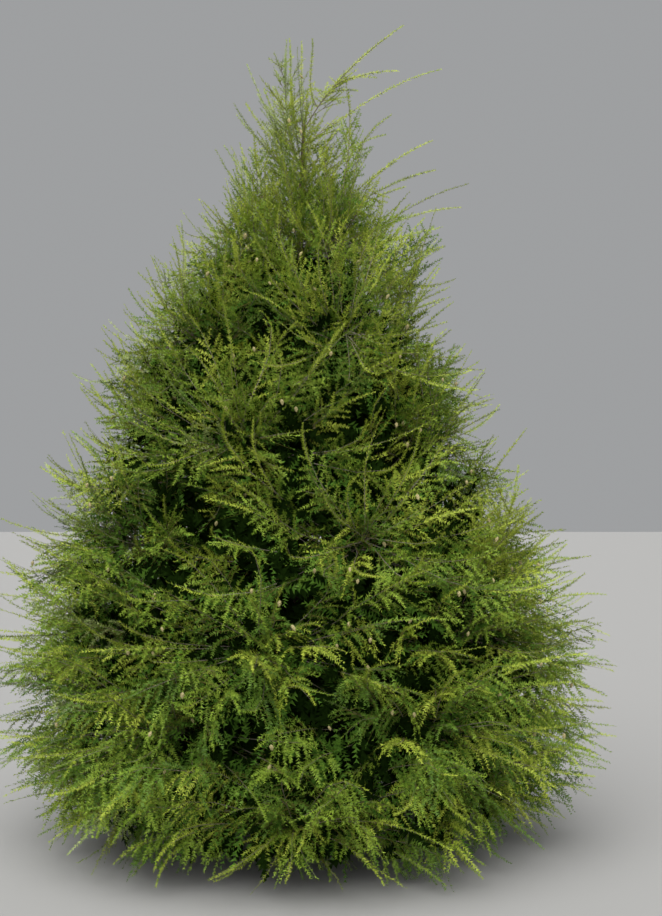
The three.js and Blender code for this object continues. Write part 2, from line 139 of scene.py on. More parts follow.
@dataclass(frozen=True)
class Crown:
    """The part's rule for where things go in the crown.

    Rows of reach give a height, and the reach there on the left and on the right, as shares of the crown's
    height and radius. A border cone has such a share for its height at the axis, and its rise for a metre out.
    """

    height: float = 3.83
    radius: float = 1.45
    reach_rows: Rows = (
        (0.0, 0.76, 0.78), (0.045, 0.9, 0.93), (0.12, 1.0, 1.0), (0.25, 1.0, 1.0), (0.35, 0.98, 0.95),
        (0.41, 0.94, 0.87), (0.5, 0.8, 0.72), (0.62, 0.66, 0.57), (0.74, 0.44, 0.5), (0.85, 0.27, 0.42),
        (0.94, 0.18, 0.4), (1.0, 0.1, 0.36),
    )
    dense_rows: Rows = (
        (0.0, 0.7, 0.73), (0.04, 0.87, 0.89), (0.1, 0.97, 0.95), (0.14, 0.99, 0.98), (0.2, 0.98, 0.98),
        (0.29, 0.97, 0.93), (0.35, 0.91, 0.87), (0.415, 0.81, 0.73), (0.445, 0.82, 0.64), (0.5, 0.68, 0.61),
        (0.565, 0.665, 0.58), (0.63, 0.615, 0.44), (0.69, 0.54, 0.41), (0.75, 0.37, 0.45), (0.8, 0.23, 0.2),
        (0.875, 0.19, 0.12), (1.0, 0.05, 0.05),
    )
    borders: Rows = (
        (0.0, 0.0), (0.1, 0.05), (0.154, 0.22), (0.231, 0.34), (0.336, 0.46), (0.447, 0.62), (0.58, 0.85),
        (0.747, 1.15),
    )
    tiers: tuple[Tier, ...] = (
        Tier("skirt", 5, -90, 0.36, 0.6, (0.06, 1.1), (5, 8), 0.5, (-34, -40)),
        Tier("low", 5, -54, 0.36, 0.5, (-0.1, 1.12), (5, 8), 0.42, (-10, -16)),
        Tier("waist", 5, -98, 0.35, 0.48, (-0.14, 1.14), (5, 8), 0.32, (26, 12)),
        Tier("middle", 4, -70, 0.32, 0.46, (-0.16, 1.16), (5, 9), 0.2, (48, 26)),
        Tier("high", 4, -110, 0.28, 0.44, (-0.16, 1.16), (5, 9), 0.05, (58, 24)),
        Tier("shoulder", 4, -66, 0.26, 0.42, (-0.36, 1.14), (6, 8), -0.05, (62, 24)),
        Tier("neck", 3, -46, 0.0, 0.42, (-0.22, 1.0), (5, 7), -0.15, (64, 32)),
    )
    place_start: float = 0.8  # of the roof's height at the axis, where the search for a point's height starts
    place_steps: int = 6

    def slices(self) -> Slices:
        """The slices of all tiers, in the part's order."""
        tier = np.repeat(np.arange(len(self.tiers)), [t.count for t in self.tiers])
        index = np.concatenate([np.arange(t.count) for t in self.tiers])
        of = lambda name: np.array([getattr(t, name) for t in self.tiers], float)[tier]
        borders = np.array(self.borders) * [self.height, 1.0]
        azimuth = np.radians(of("turn") + 360 * index / of("count"))
        wide, same = np.pi / of("count"), {name: of(name) for name in ("inner", "run", "droop", "rise")}
        return Slices(tier * 10.0 + index, azimuth, wide, borders[tier], borders[tier + 1], tier=tier, **same)

    def reach(self, height: Array, azimuth: Array, dense: bool = False) -> Array:
        """How far shoots reach: between the left and the right reach at that height, by the azimuth's cosine.

        Args:
            height: Heights.
            azimuth: Azimuths, in radians.
            dense: Whether to tell where the dense sprays end, and not the furthest tips.

        Returns:
            One distance from the axis each.
        """
        levels, left, right = np.array(self.dense_rows if dense else self.reach_rows).T
        share = np.clip(height / self.height, 0, 1)
        sides = [np.interp(share, levels, side) for side in (left, right)]
        return self.radius * lerp(sides[0], sides[1], (1 + np.cos(azimuth)) / 2)

    def within(self, points: Array, share: float) -> Array:
        """A mask of the points nearer to the axis than a share of the dense reach at their height."""
        azimuth = np.arctan2(points[:, 1], points[:, 0])
        return np.hypot(points[:, 0], points[:, 1]) < share * self.reach(points[:, 2], azimuth, dense=True)

    def place(self, slices: Slices, row: Array, out: Array | float, across: Array | float, up: Array) -> Array:
        """The points at shares of the way outwards, of the half width and of the depth of slices.

        The radius is a share of the reach at the point's height, and the height a share of the way between the
        two border cones at that radius, so both are worked out in turn until they agree.

        Args:
            slices: All slices.
            row: Which slice each point is in.
            out: 0 where the limb ends, 1 at the reach.
            across: -1 to 1 round the trunk.
            up: 0 at the lower border, 1 at the upper one.

        Returns:
            One point each.
        """
        azimuth = slices.azimuth[row] + across * slices.half_angle[row]
        floor, roof = slices.floor[row], slices.roof[row]
        height = self.place_start * roof[..., 0]
        for _ in range(self.place_steps):
            radius = self.reach(height, azimuth) * lerp(slices.inner[row], 1.0, out)
            height = lerp(floor[..., 0] + floor[..., 1] * radius, roof[..., 0] + roof[..., 1] * radius, up)
        return np.stack([radius * np.cos(azimuth), radius * np.sin(azimuth), height], axis=-1)


def bent(start: Array, end: Array, leave: Array, arrive: Array, steps: int) -> Array:
    """Curves that leave one point and arrive at another in given directions.

    Each is the sum of the two points and of the two directions times their distance, weighted by the cubics
    2ttt-3tt+1, 3tt-2ttt, t(1-t)(1-t) and tt(t-1) of the share t of the way.

    Args:
        start: First points.
        end: Last points.
        leave: Directions at the start.
        arrive: Directions at the end. A longer one holds over more of the curve.
        steps: How many points each gets.

    Returns:
        One row of points each.
    """
    t = np.linspace(0, 1, steps)[None, :, None]
    size = np.linalg.norm(end - start, axis=1)[:, None, None]
    ends = start[:, None] * (2 * t**3 - 3 * t**2 + 1) + end[:, None] * (3 * t**2 - 2 * t**3)
    return ends + size * (leave[:, None] * t * (1 - t) ** 2 + arrive[:, None] * t**2 * (t - 1))


def bowed(start: Array, middle: Array, end: Array, share: Array) -> Array:
    """Points of a parabola pulled towards a middle point: weights (1-t)(1-t), 2t(1-t) and tt of a share t."""
    return start * (1 - share) ** 2 + middle * 2 * share * (1 - share) + end * share**2


def resampled(points: Array, steps: int) -> Array:
    """Rows of points drawn again with another number of points, evenly between the old ones."""
    place = np.linspace(0, points.shape[1] - 1, steps)
    low = np.minimum(place.astype(int), points.shape[1] - 2)
    return lerp(points[:, low], points[:, low + 1], (place - low)[None, :, None])


def ring_faces(levels: int, sides: int, centred: bool = True) -> Array:
    """Triangles of a closed stack of rings: walls between neighbours, and fans over the first and the last.

    Its vertices are the rings in order, then the first ring's centre, if it has one, and the last one's.

    Args:
        levels: How many rings.
        sides: Corners of a ring, which run anticlockwise as seen from the last centre.
        centred: Whether the first ring has a centre. If not, its fan starts at a corner.

    Returns:
        One row for each triangle, which faces outwards.
    """
    level, corner = np.indices((levels - 1, sides))
    a, b = ((level * sides + (corner + step) % sides).ravel() for step in (0, 1))
    first, second = np.arange(sides), (np.arange(sides) + 1) % sides
    last, centre = (levels - 1) * sides, levels * sides
    fan = np.stack([second, first, np.full(sides, centre if centred else 0)], 1)
    return np.concatenate([
        np.stack([a, b, a + sides], 1),
        np.stack([b, b + sides, a + sides], 1),
        fan if centred else fan[1:-1],
        np.stack([first + last, second + last, np.full(sides, centre + centred)], 1),
    ])


def tubes(points: Array, radii: Array, sides: int, normal: Array) -> tuple[Array, Array]:
    """Round, pointed tubes along rows of points, closed at both ends.

    A ring's corner is the point, plus the radius times the cosine of its angle times the side, plus the sine
    times the flat. The last point is a single tip, and the root is closed by a fan.

    Args:
        points: One row of points each.
        radii: The radius at each point but the last.
        sides: Corners of a ring.
        normal: A direction across each tube, for its frame.

    Returns:
        The vertices and the triangles.
    """
    count, steps = points.shape[:2]
    along = unit(np.gradient(points, axis=1))
    flat = square_to(normal[:, None], along)
    side = np.cross(flat, along)
    angle = np.arange(sides) * 2 * np.pi / sides
    ring = side[:, :-1, None] * np.cos(angle)[:, None] + flat[:, :-1, None] * np.sin(angle)[:, None]
    rings = points[:, :-1, None] + ring * radii[:, :, None, None]
    vertices = np.concatenate([rings.reshape(count, -1, 3), points[:, -1:]], axis=1)
    faces = ring_faces(steps - 1, sides, centred=False) + (np.arange(count) * vertices.shape[1])[:, None, None]
    return vertices.reshape(-1, 3), faces.reshape(-1, 3)


class Tint(Enum):
    """Which needles a spray bears."""

    FRESH = 0
    GREEN = 1
    DEEP = 2
    PALE = 3
    INNER = 4
    SHADED = 5


@dataclass
class Sprigs:
    """Many twigs or shoots at once, one row each: points along it, its spray's flat, its radius, its tint, and
    the share of it at the root that bears no needles. One value in place of rows holds for all."""

    points: Array
    normal: Array
    radius: Array
    tint: Array
    bare: Array

    def __post_init__(self) -> None:
        """Spreads single values over all rows."""
        for name in ("radius", "tint", "bare"):
            setattr(self, name, np.array(np.broadcast_to(getattr(self, name), len(self.points))))

    def __len__(self) -> int:
        """How many there are."""
        return len(self.points)

    def lengths(self) -> Array:
        """Each one's length along its points."""
        return np.linalg.norm(np.diff(self.points, axis=1), axis=2).sum(axis=1)

    def at(self, row: Array, share: Array) -> tuple[Array, Array]:
        """The point and the direction at a share of each one's length, straight between two of its points."""
        steps = self.points.shape[1] - 1
        place = np.clip(share, 0, 0.9999) * steps
        step = place.astype(int)
        start, end = self.points[row, step], self.points[row, step + 1]
        return lerp(start, end, (place - step)[:, None]), unit(end - start)

    def stretch(self, first: Array, last: Array) -> "Sprigs":
        """The stretch of each one between two shares of its length, borne all along."""
        count, steps = self.points.shape[:2]
        share = lerp(first[:, None], last[:, None], np.linspace(0, 1, steps)[None])
        points, _ = self.at(np.repeat(np.arange(count), steps), share.ravel())
        return Sprigs(points.reshape(count, steps, 3), self.normal, self.radius, self.tint, 0.0)

    def kept(self, mask: Array) -> "Sprigs":
        """Those that a mask picks."""
        return Sprigs(*(getattr(self, f.name)[mask] for f in fields(self)))

    def rested(self) -> tuple["Sprigs", Array]:
        """Those not far under the ground, lifted where too low so that they rest on it, and their mask."""
        mask = self.points[..., 2].min(axis=1) > SUNK
        stay = self.kept(mask)
        stay.points[..., 2] = np.maximum(stay.points[..., 2], CLEARANCE)
        return stay, mask

    def tubes(self, steps: int, tip_girth: float = 0.35) -> tuple[Array, Array]:
        """Three-sided tubes along them through a number of points, which thin to a share of their girth."""
        radii = self.radius[:, None] * np.linspace(1, tip_girth, steps - 1)
        return tubes(resampled(self.points, steps), radii, 3, self.normal)

    @staticmethod
    def joined(groups: list["Sprigs"], steps: int) -> "Sprigs":
        """Several groups as one, each drawn again with the same number of points."""
        others = (np.concatenate([getattr(g, f.name) for g in groups]) for f in fields(Sprigs)[1:])
        return Sprigs(np.concatenate([resampled(g.points, steps) for g in groups]), *others)


@dataclass(frozen=True)
class SideShoots:
    """How side shoots stand on their parents: they leave left and right by turns and lean towards its tip.

    A shoot's length grows from short to long with its distance from the parent's tip, up to full. They start
    as far from the tip as stretch says, or so that the least stretch bears some, but not in the bare root.
    """

    spacing: float
    stretch: float
    least: float
    bare_root: float
    short: float
    long: float
    full: float
    angle: float
    angle_swing: float
    tilt: float
    radius: float
    steps: int
    leading_range: Pair = (0.8, 1.2)
    most_leading: float = 0.85  # of the parent, at most, bears none at its tip
    tip_share: float = 0.75  # of that length doesn't count in the distance from the tip
    size_range: Pair = (0.7, 1.2)
    flat_swing: float = 0.35
    bare: float = 0.06

    def grow(self, parents: Sprigs, droop: Array | float, leading: Array | float,
             rng: np.random.Generator) -> tuple[Sprigs, Array]:
        """Side shoots for every parent.

        A shoot's point at a share is the root, plus the direction times share and length, plus a fall times
        the share's square. The direction is the parent's, turned in the flat of its spray by the angle.

        Args:
            parents: What they grow on.
            droop: How far each parent's shoots fall at the tip, as a share of their length.
            leading: The length at each parent's tip that bears none.
            rng: The seeded source of unevenness.

        Returns:
            The shoots, and the parent's row for each.
        """
        length = parents.lengths()
        droop = np.broadcast_to(droop, len(length))
        leading = leading * rng.uniform(*self.leading_range, len(length))
        leading = np.minimum(leading, self.most_leading * length)
        start = np.minimum(length - self.stretch, length - leading - self.least)
        start = np.maximum(self.bare_root * length, start)
        room = np.maximum(length - leading - start, 0)
        owner, index = counted((room / self.spacing).astype(int))
        count = len(owner)
        away = start[owner] + (index + rng.uniform(0.2, 0.8, count)) * self.spacing
        root, along = parents.at(owner, away / length[owner])
        grown = np.clip((length[owner] - away - self.tip_share * leading[owner]) / self.full, 0, 1)
        size = lerp(self.short, self.long, grown) * rng.uniform(*self.size_range, count)
        flat = square_to(parents.normal[owner], along)
        hand = np.where(index % 2 == 0, 1.0, -1.0)
        angle = hand * (self.angle + self.angle_swing * rng.uniform(-1, 1, count))
        direction = unit(turned(along, flat, angle) + flat * (self.tilt * rng.uniform(-1, 1, count))[:, None])
        share = np.linspace(0, 1, self.steps)[None, :, None]
        fall = (droop[owner] * size)[:, None, None] * -UP
        points = root[:, None] + direction[:, None] * share * size[:, None, None] + fall * share**2
        flat = unit(flat + self.flat_swing * rng.normal(size=flat.shape))
        return Sprigs(points, flat, self.radius, parents.tint[owner], self.bare), owner


@dataclass(frozen=True)
class Needles:
    """Needles along shoots, flat and blunt: most in two ranks at its sides, the others all round it.

    Real ones are 8 to 17 mm long, 2 mm wide and 1 mm apart. The outer ones are as long, but drawn three times
    wider and further apart, because a tree has millions. Those inside are coarser still, and only fill.
    """

    length: float = 0.016
    width: float = 0.006
    spacing: float = 0.0082
    forward: float = 1.1
    forward_at_tip: float = 0.7
    lift: float = 0.12
    lift_spread: float = 0.5
    size_range: Pair = (0.75, 1.1)
    tip_size: float = 0.6

    def blades(self, sprigs: Sprigs, rng: np.random.Generator) -> Array:
        """One triangle for each needle, its base along the shoot and its point away from it.

        The point is the root plus the needle's direction times its length. The direction is the shoot's times
        the cosine of the forward angle, plus its sine times the side turned up by the lift.

        Args:
            sprigs: The shoots that bear them.
            rng: The seeded source of unevenness.

        Returns:
            Three corners for each needle, one after the other.
        """
        pairs = np.ceil(sprigs.lengths() * (1 - sprigs.bare) / self.spacing)
        owner, index = (np.repeat(rows, 2) for rows in counted(pairs.astype(int)))
        total = len(owner)
        hand = np.where(np.arange(total) % 2 == 0, 1.0, -1.0)
        share = lerp(sprigs.bare[owner], 1.0, (index + rng.uniform(0.1, 0.9, total)) / pairs[owner])
        root, along = sprigs.at(owner, share)
        flat = square_to(sprigs.normal[owner], along)
        side = np.cross(flat, along) * hand[:, None]
        forward = lerp(self.forward, self.forward_at_tip, share**6) * rng.uniform(0.85, 1.15, total)
        lift = rng.normal(self.lift, self.lift_spread, total)
        outward = side * np.cos(lift)[:, None] + flat * np.sin(lift)[:, None]
        direction = along * np.cos(forward)[:, None] + outward * np.sin(forward)[:, None]
        length = self.length * rng.uniform(*self.size_range, total) * lerp(1.0, self.tip_size, share**3)
        half = along * (self.width / 2 * hand)[:, None]
        corners = np.stack([root - half, root + half, root + direction * length[:, None]], axis=1)
        return corners.reshape(-1, 3)


def linear(colour: str) -> tuple[float, float, float, float]:
    """An sRGB hex colour in linear light, by the sRGB curve: a straight toe, then a power of 2.4."""
    parts = [int(colour[i : i + 2], 16) / 255 for i in (1, 3, 5)]
    red, green, blue = (p / 12.92 if p <= 0.04045 else ((p + 0.055) / 1.055) ** 2.4 for p in parts)
    return red, green, blue, 1.0


def add_node(tree: bpy.types.NodeTree, kind: str, settings: dict, links: dict) -> bpy.types.Node:
    """Adds a shader node.

    Args:
        tree: The node tree.
        kind: The node's type name.
        settings: Values by the name of an input, or of a property where there is no such input.
        links: Output sockets by the name or number of the input that they go to.

    Returns:
        The node.
    """
    node = tree.nodes.new(kind)
    for name, value in settings.items():
        if name in node.inputs:
            node.inputs[name].default_value = value
        else:
            setattr(node, name, value)
    for name, socket in links.items():
        tree.links.new(socket, node.inputs[name])
    return node


@dataclass(frozen=True)
class Finish:
    """A surface of a dark and a light colour. Each kind of finish gives the pattern that mixes them."""

    name: str
    dark: str
    light: str

    def pattern(self, tree: bpy.types.NodeTree, spot: bpy.types.NodeSocket) -> tuple:
        """The light colour's share, the shader's settings, and its further links."""
        raise NotImplementedError

    def material(self) -> bpy.types.Material:
        """A material of the two colours, mixed by the pattern on the object's own coordinates."""
        made = bpy.data.materials.new(self.name)
        made.use_nodes = True
        tree = made.node_tree
        tree.nodes.clear()
        spot = add_node(tree, "ShaderNodeTexCoord", {}, {}).outputs["Object"]
        share, settings, links = self.pattern(tree, spot)
        mix = add_node(tree, "ShaderNodeMix", {"data_type": "RGBA"}, {0: share})
        for socket, colour in zip((s for s in mix.inputs if s.type == "RGBA"), (self.dark, self.light)):
            socket.default_value = linear(colour)
        mixed = next(s for s in mix.outputs if s.type == "RGBA")
        links = {"Base Color": mixed, **links}
        shader = add_node(tree, "ShaderNodeBsdfPrincipled", {"IOR": 1.45, **settings}, links)
        add_node(tree, "ShaderNodeOutputMaterial", {}, {"Surface": shader.outputs["BSDF"]})
        return made


@dataclass(frozen=True)
class NeedleFinish(Finish):
    """Living needles: leaf tissue that grew a waxy skin, which gives a soft, broad gloss and an uneven green.

    Greens differ between sprays, so the coarse patches are 110 mm. A real needle's grain, under 0.1 mm, is too
    fine to show, so the fine pattern is drawn as coarse as a needle is long, 12 mm.
    """

    roughness: float = 0.55
    gloss: float = 0.25
    patch: float = 0.11
    grain: float = 0.012

    def pattern(self, tree: bpy.types.NodeTree, spot: bpy.types.NodeSocket) -> tuple:
        """A noise as coarse as a spray plus one as fine as a few needles, with its middle spread out."""
        sizes = ((self.patch, 2.0), (self.grain, 1.0))
        noises = [
            add_node(tree, "ShaderNodeTexNoise", {"Scale": 1 / size, "Detail": detail}, {"Vector": spot})
            for size, detail in sizes
        ]
        both = {number: noise.outputs["Fac"] for number, noise in enumerate(noises)}
        added = add_node(tree, "ShaderNodeMath", {"operation": "ADD"}, both)
        limits = {"From Min": 0.75, "From Max": 1.25}
        spread = add_node(tree, "ShaderNodeMapRange", limits, {"Value": added.outputs[0]})
        return spread.outputs["Result"], {"Roughness": self.roughness, "Specular IOR Level": self.gloss}, {}


@dataclass(frozen=True)
class BarkFinish(Finish):
    """Cork or dry scales: dead tissue that split as the wood grew, so it is matt, and darker in its furrows.

    plate is the width of a plate, depth how deep a furrow is, and stretch the width's share of the height.
    """

    plate: float = 0.016
    depth: float = 0.003
    stretch: float = 0.35
    roughness: float = 0.9
    furrow: float = 0.22  # of a plate's width is furrow

    def pattern(self, tree: bpy.types.NodeTree, spot: bpy.types.NodeSocket) -> tuple:
        """Cracks between cells that are long upwards, times a noise, colour the bark and raise its plates."""
        scale = 1 / self.plate
        long = add_node(tree, "ShaderNodeMapping", {"Scale": (1.0, 1.0, self.stretch)}, {"Vector": spot})
        cells = {"feature": "DISTANCE_TO_EDGE", "Scale": scale}
        cells = add_node(tree, "ShaderNodeTexVoronoi", cells, {"Vector": long.outputs["Vector"]})
        noise = add_node(tree, "ShaderNodeTexNoise", {"Scale": 2 * scale, "Detail": 4.0}, {"Vector": spot})
        plates = {"Value": cells.outputs["Distance"]}
        plates = add_node(tree, "ShaderNodeMapRange", {"From Max": self.furrow}, plates)
        both = {0: plates.outputs["Result"], 1: noise.outputs["Fac"]}
        height = add_node(tree, "ShaderNodeMath", {"operation": "MULTIPLY"}, both).outputs[0]
        bump = add_node(tree, "ShaderNodeBump", {"Strength": 0.6, "Distance": self.depth}, {"Height": height})
        return height, {"Roughness": self.roughness}, {"Normal": bump.outputs["Normal"]}


FINISHES = {
    # Needles of this year, at the tips: thin wax, so the eye sees a yellowish, lively green.
    Tint.FRESH: NeedleFinish("Young hemlock needles", "#748a20", "#aebb46"),
    # Needles of last year: a fuller, darker green under the same soft gloss.
    Tint.GREEN: NeedleFinish("Hemlock needles", "#57741c", "#8aa236"),
    # Older needles further in, duller and bluer.
    Tint.DEEP: NeedleFinish("Older hemlock needles", "#3b5917", "#638127"),
    # Two bands of white wax under a needle: where a spray shows its underside, it looks pale and matt.
    Tint.PALE: NeedleFinish("Waxy undersides of hemlock needles", "#768a48", "#abb876", roughness=0.65),
    # Old needles in half shade, hardly glossy, seen through the gaps between sprays. Their darker green is
    # partly their age and partly painted half shade.
    Tint.INNER: NeedleFinish("Inner hemlock needles", "#2f4e14", "#537527", roughness=0.8, gloss=0.1),
    # Old needles in full shade, with no gloss left. Their near-black colour is painted shade, the dark of the
    # crown's depth.
    Tint.SHADED: NeedleFinish("Shaded inner hemlock needles", "#0b1504", "#18280a", roughness=0.95, gloss=0.0),
}
# Cork of a young trunk, split into scales 5 to 8 mm wide and longer upwards: dry brown plates between dark
# lines. Here they are 16 mm wide, because real ones wouldn't show.
TRUNK_BARK = BarkFinish("Scaly hemlock bark", "#3a2d24", "#7a6655", plate=0.016, depth=0.003)
# Thin cork of twigs, weathered grey, with fine wrinkles: matt grey lines. Real wrinkles are 1 mm, these 9 mm.
TWIG_BARK = BarkFinish("Smooth twig bark", "#5b5248", "#a1988b", plate=0.009, depth=0.0006)
# Skin of this year's shoots, downy and yellowish brown. Real ridges are 0.5 mm, these 6 mm, to show at all.
YOUNG_BARK = BarkFinish("Young shoot bark", "#56501f", "#8a7f3a", plate=0.006, depth=0.0003)
# Woody scales of closed cones, dried to a pale straw brown, matt. 5 to 6 mm of each show, as here.
CONE_SCALES = BarkFinish("Dry cone scales", "#93875a", "#d3c996", plate=0.006, depth=0.0008, stretch=1.0)


def add_object(name: str, data: bpy.types.ID, spot: tuple = (0, 0, 0),
               turn: tuple = (0, 0, 0)) -> bpy.types.Object:
    """Adds an object that holds some data to the scene, at a spot and turned by three angles."""
    made = bpy.data.objects.new(name, data)
    made.location, made.rotation_euler = spot, turn
    bpy.context.scene.collection.objects.link(made)
    return made


@dataclass(frozen=True)
class Piece:
    """A finished piece on the one body of this tree, and the nodes that it stands for."""

    name: str
    slot: str
    material: bpy.types.Material
    replaces: tuple[str, ...] = ()
    smooth: bool = False
    lowest: float = LOWEST

    def build(self, vertices: Array, faces: Array | None = None) -> None:
        """Puts the arrays into one mesh, or into several where they hold too many triangles for one.

        Args:
            vertices: One row each. Those under the lowest level are lifted to it.
            faces: Triangles, or none where each three vertices are one.
        """
        vertices = np.concatenate([vertices[:, :2], np.maximum(vertices[:, 2:], self.lowest)], axis=1)
        faces = np.arange(len(vertices)).reshape(-1, 3) if faces is None else faces
        parts = math.ceil(len(faces) / MOST_TRIANGLES)
        for number, part in enumerate(np.array_split(faces, parts)):
            used, index = np.unique(part, return_inverse=True)
            name = self.name if parts == 1 else f"{self.name}_{number + 1}"
            self.mesh(name, vertices[used], index.reshape(-1, 3))

    def mesh(self, name: str, vertices: Array, faces: Array) -> None:
        """Makes one object of vertices and triangles."""
        mesh = bpy.data.meshes.new(name)
        mesh.vertices.add(len(vertices))
        mesh.vertices.foreach_set("co", vertices.astype(np.float32).ravel())
        mesh.loops.add(3 * len(faces))
        mesh.loops.foreach_set("vertex_index", faces.astype(np.int32).ravel())
        mesh.polygons.add(len(faces))
        mesh.polygons.foreach_set("loop_start", np.arange(0, 3 * len(faces), 3, dtype=np.int32))
        mesh.polygons.foreach_set("use_smooth", np.full(len(faces), self.smooth))
        mesh.update(calc_edges=True)
        mesh.materials.append(self.material)
        piece = add_object(name, mesh)
        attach(piece, "root")
        if self.replaces:
            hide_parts(*self.replaces)
        LOG.info("%s: %d triangles", name, len(faces))


@dataclass
class Wood:
    """The trunk, its limbs and their stems, with the bark's relief in the mesh."""

    crown: Crown
    slices: Slices
    top: float = 0.872 * 3.83
    shaft: Pair = (0.052, 0.007)
    flare: float = 0.08
    flare_fade: float = 0.075
    ridges: int = 5
    ridge_depth: float = 0.22
    ridge_turn: float = 0.6
    sway: float = 0.012
    lean: float = 0.03
    relief: float = 0.0016
    rings: int = 150
    sides: int = 40
    limb_sides: int = 9
    limb_radius: float = 0.013
    limb_taper: float = 0.62
    limb_thinning: float = 0.55
    limb_rise: float = 0.05
    limb_root: Pair = (0.52, 0.14)  # where it leaves the trunk, as a share of the slice's depth, and the swing
    limb_steps: int = 9
    stem: Pair = (0.06, 0.62)
    stem_steps: int = 8
    stem_taper: float = 0.2

    def build(self, boughs: list[str]) -> None:
        """The trunk and the limbs as two pieces of the same bark, which stand for the trunk and the boughs."""
        bark = TRUNK_BARK.material()
        Piece("trunk_bark", "bark", bark, ("trunk",), smooth=True, lowest=0.0).build(*self.trunk())
        Piece("limb_bark", "bark", bark, tuple(boughs), smooth=True).build(*self.limbs())

    def centre(self, height: Array) -> Array:
        """The trunk's centre: it sways by a sine and a cosine that grow upwards, and its end leans."""
        share = height / self.top
        x = self.sway * np.sin(5 * share) * share + self.lean * share**6
        y = self.sway * (np.cos(4 * share) - 1) * share
        return np.stack([x, y, height + 0 * x], axis=-1)

    def radius(self, height: Array, angle: Array) -> Array:
        """The trunk's radius: a straight taper, plus a flare with ridges that dies away upwards."""
        ridges = 1 + self.ridge_depth * np.cos(self.ridges * angle + self.ridge_turn)
        shaft = lerp(self.shaft[0], self.shaft[1], height / self.top)
        return shaft + (self.flare - self.shaft[0]) * ridges * np.exp(-height / self.flare_fade)

    def trunk(self) -> tuple[Array, Array]:
        """The trunk as a closed grid, its radius lessened by furrows: products of sines of angle and height.

        Furrows run every 13 degrees and every 83 mm, and wander. They are shallower towards the top.
        """
        share = np.linspace(0, 1, self.rings)
        height = (self.top * share**1.4)[:, None]
        angle = (np.arange(self.sides) * 2 * np.pi / self.sides)[None, :]
        wander = 1.3 * np.sin(9 * height + 2 * angle) + 0.8 * np.sin(23 * height)
        breaks = np.abs(np.sin(38 * height + 3 * np.sin(3 * angle + 5 * height)))
        plates = np.abs(np.sin(7 * angle + wander)) * breaks
        radius = self.radius(height, angle) - self.relief * (1 - plates**0.5) * lerp(1.0, 0.3, share[:, None])
        centre = self.centre(height)
        x, y = centre[..., 0] + radius * np.cos(angle), centre[..., 1] + radius * np.sin(angle)
        rings = np.stack([x, y, np.broadcast_to(height, x.shape)], axis=-1).reshape(-1, 3)
        ends = self.centre(np.array([0.0, self.top]))
        return np.concatenate([rings, ends]), ring_faces(self.rings, self.sides)

    def limbs(self) -> tuple[Array, Array]:
        """The limbs with their stems: a bowed limb to its tip, then its stem along the slice's middle."""
        s, place = self.slices, self.crown.place
        keys = np.arange(len(s.key))
        root_share = self.limb_root[0] + self.limb_root[1] * swing(s.key, 0, 20)
        tip = place(s, keys, 0.0, 0.0, s.run)
        root = self.centre(np.where(s.inner > 0, lerp(s.floor[:, 0], s.roof[:, 0], root_share), tip[:, 2]))
        middle = lerp(root, tip, 0.5) + UP * (self.limb_rise * np.linalg.norm(tip - root, axis=1))[:, None]
        t = np.linspace(0, 1, self.limb_steps)[None, :, None]
        bow = bowed(root[:, None], middle[:, None], tip[:, None], t)
        stem = place(s, keys[:, None], np.linspace(*self.stem, self.stem_steps)[None], 0.0, s.run[:, None])
        first = self.limb_radius * (1 - self.limb_thinning * root[:, 2] / self.top)
        taper = np.concatenate([
            np.linspace(1, self.limb_taper, self.limb_steps),
            np.linspace(self.limb_taper, self.stem_taper, self.stem_steps),
        ])
        points = np.concatenate([bow, stem], axis=1)
        return tubes(points, first[:, None] * taper[None, :-1], self.limb_sides, np.tile(UP, (len(keys), 1)))


LEADING_SHOOTS = (  # start x and z, end x and z, in metres from the trunk's middle and the ground
    (0.137, 3.562, 0.467, 3.605), (0.146, 3.548, 0.363, 3.572), (0.104, 3.500, 0.274, 3.510),
    (0.142, 3.360, 0.674, 3.614), (0.146, 3.364, 0.269, 3.411), (0.085, 3.331, 0.236, 3.326),
    (0.085, 3.152, 0.406, 3.298), (0.165, 3.060, 0.292, 3.246), (0.300, 3.030, 0.627, 3.270),
    (0.300, 3.020, 0.641, 3.128), (0.280, 2.980, 0.500, 3.048), (0.400, 2.880, 0.800, 3.062),
    (0.340, 2.890, 0.764, 2.950), (-0.09, 3.360, -0.052, 3.760), (-0.075, 3.490, 0.005, 3.746),
    (-0.047, 3.515, 0.057, 3.760), (-0.150, 3.290, -0.255, 3.638), (-0.150, 3.300, -0.175, 3.520),
    (-0.094, 3.350, -0.146, 3.490), (-0.160, 3.230, -0.307, 3.397), (-0.150, 3.250, -0.260, 3.450),
    (0.000, 3.370, 0.014, 3.530), (-0.200, 3.000, -0.363, 3.246), (-0.240, 2.900, -0.344, 3.124),
    (-0.400, 2.680, -0.566, 2.940),
)


@dataclass(frozen=True)
class LeaderHabit:
    """How shoots stand round a leader.

    part is where the first and the last leave it, lengths how long those are, spread their angle to it, fan
    how far round it they stand, and lift how far each curves up at its tip, as a share of its length.
    """

    key: int
    part: Pair
    lengths: Pair
    spread: float
    fan: float
    shoots: int
    lift: float = 0.1


